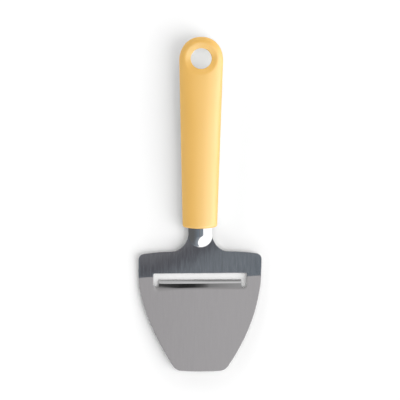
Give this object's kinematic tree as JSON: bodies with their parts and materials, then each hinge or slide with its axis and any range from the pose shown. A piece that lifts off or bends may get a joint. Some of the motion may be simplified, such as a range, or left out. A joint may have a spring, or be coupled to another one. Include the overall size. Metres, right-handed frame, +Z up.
{
  "type": "cheese slicer",
  "caption": "Hand cheese slicer: spade-shaped pressed steel plate with a slot and cutting lip, on a tapered plastic handle with a dished hanging hole.",
  "frame": {"origin": "on the table, Z = 0, under the middle of the slicer's length and width; the cutting edge and the belly of the handle touch Z = 0", "axes": "+Y along the slicer from the tip of the plate to the hanging end, +Z up from the table, +X across the plate to the right of someone who looks down with the handle pointing away"},
  "size_m": [0.0902, 0.2438, 0.0202],
  "materials": {
    "blade_steel": "stainless sheet brushed along the length, with a ground bevel on the cutting lip",
    "core_plastic": "as moulded",
    "handle_plastic": "satin, warm yellow"
  },
  "bodies": {
    "root": {"blade_plate": "blade_steel", "tang_core": "core_plastic", "handle_shell": "handle_plastic"}
  },
  "joints": []
}
